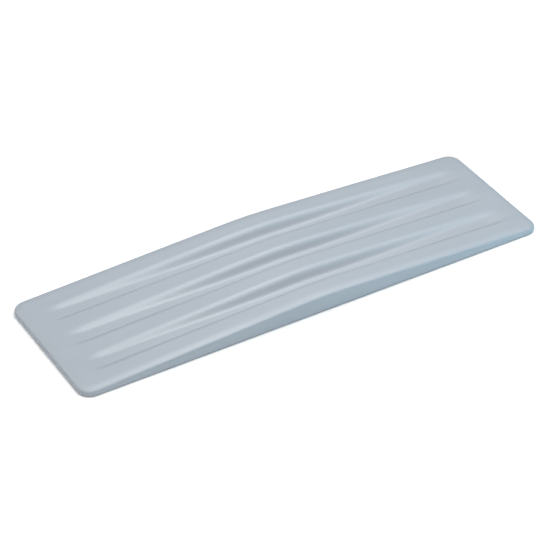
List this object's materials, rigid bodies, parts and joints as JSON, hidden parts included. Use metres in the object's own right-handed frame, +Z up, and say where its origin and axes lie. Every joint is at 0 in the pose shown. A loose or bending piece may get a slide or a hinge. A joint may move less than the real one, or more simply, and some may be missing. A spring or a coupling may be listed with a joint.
{
  "type": "transfer board",
  "caption": "Low arched moulded board with three lengthwise flutes, laid between two seats so a seated person can slide across; rubber grip strips underneath.",
  "frame": {"origin": "on the floor, below the middle of the board", "axes": "+X along the board, +Y across it, +Z up"},
  "size_m": [0.7, 0.2, 0.0265],
  "materials": {
    "deck": "light grey-blue moulded plastic with a fine satin texture",
    "base": "grey-blue moulded plastic, finely textured",
    "foam": "rigid off-white foam",
    "strip": "dark grey moulded rubber",
    "label": "blank satin film"
  },
  "bodies": {
    "root": {"deck_shell": "deck", "base_shell": "base", "core_plank_outer_near": "foam", "core_plank_inner_near": "foam", "core_plank_inner_far": "foam", "core_plank_outer_far": "foam", "grip_strip_left_near": "strip", "grip_strip_left_middle": "strip", "grip_strip_left_far": "strip", "grip_strip_right_near": "strip", "grip_strip_right_middle": "strip", "grip_strip_right_far": "strip", "rating_label": "label"}
  },
  "joints": []
}
